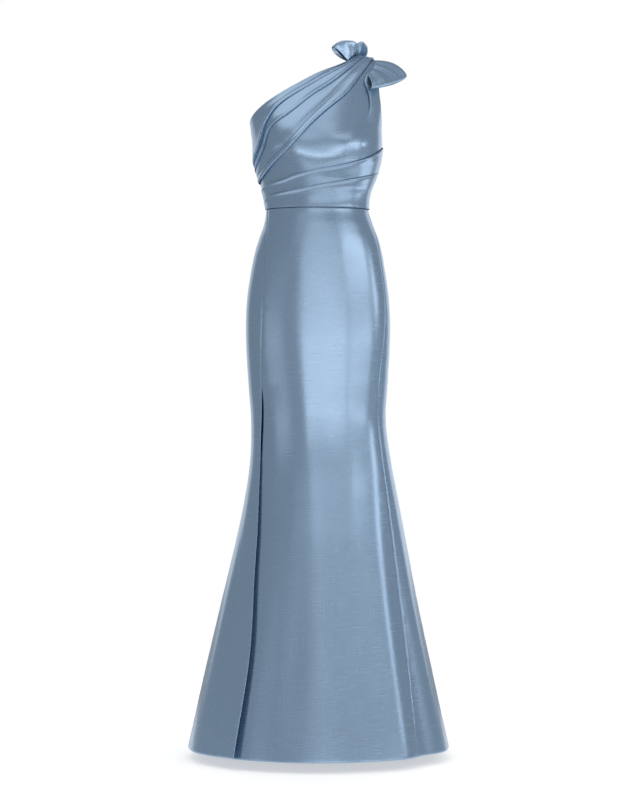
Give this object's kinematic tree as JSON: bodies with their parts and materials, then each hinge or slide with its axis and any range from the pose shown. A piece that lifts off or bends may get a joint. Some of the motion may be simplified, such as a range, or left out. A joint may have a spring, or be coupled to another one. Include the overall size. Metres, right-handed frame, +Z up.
{
  "type": "one-shoulder dress",
  "caption": "Full-length satin gown with a pleated drape and a looped bow at the left shoulder, fitted to the knee and flared to the hem, with a lapped side slit.",
  "frame": {"origin": "underside of the strap at the wearer's left shoulder, where the dress hangs", "axes": "+Z up, front of the dress towards -Y, wearer's left towards +X"},
  "size_m": [0.5853, 0.5035, 1.5808],
  "materials": {
    "satin": "dusty blue satin with a soft bright sheen and a fine slub",
    "zip_tape": "woven tape dyed to match",
    "zip_metal": "enamelled to match the cloth"
  },
  "bodies": {
    "dress": {"skirt_front_center": "satin", "skirt_side_right": "satin", "skirt_side_left": "satin", "skirt_back_left": "satin", "skirt_back_right": "satin", "bodice_front": "satin", "bodice_back_left": "satin", "bodice_back_right": "satin", "shoulder_drape": "satin", "armhole_pleat": "satin", "midriff_upper": "satin", "midriff_lower": "satin", "bow_upper_loop": "satin", "bow_outer_loop": "satin", "zip_tape": "zip_tape", "zip_slider": "zip_metal"},
    "zip_pull": {"zip_pull": "zip_metal"}
  },
  "joints": [
    {"name": "pull_swing", "type": "hinge", "parent": "dress", "child": "zip_pull", "pos_m": [-0.108, 0.06775, -0.06973], "axis": [1, 0, 0], "range_deg": [0, 150]}
  ]
}
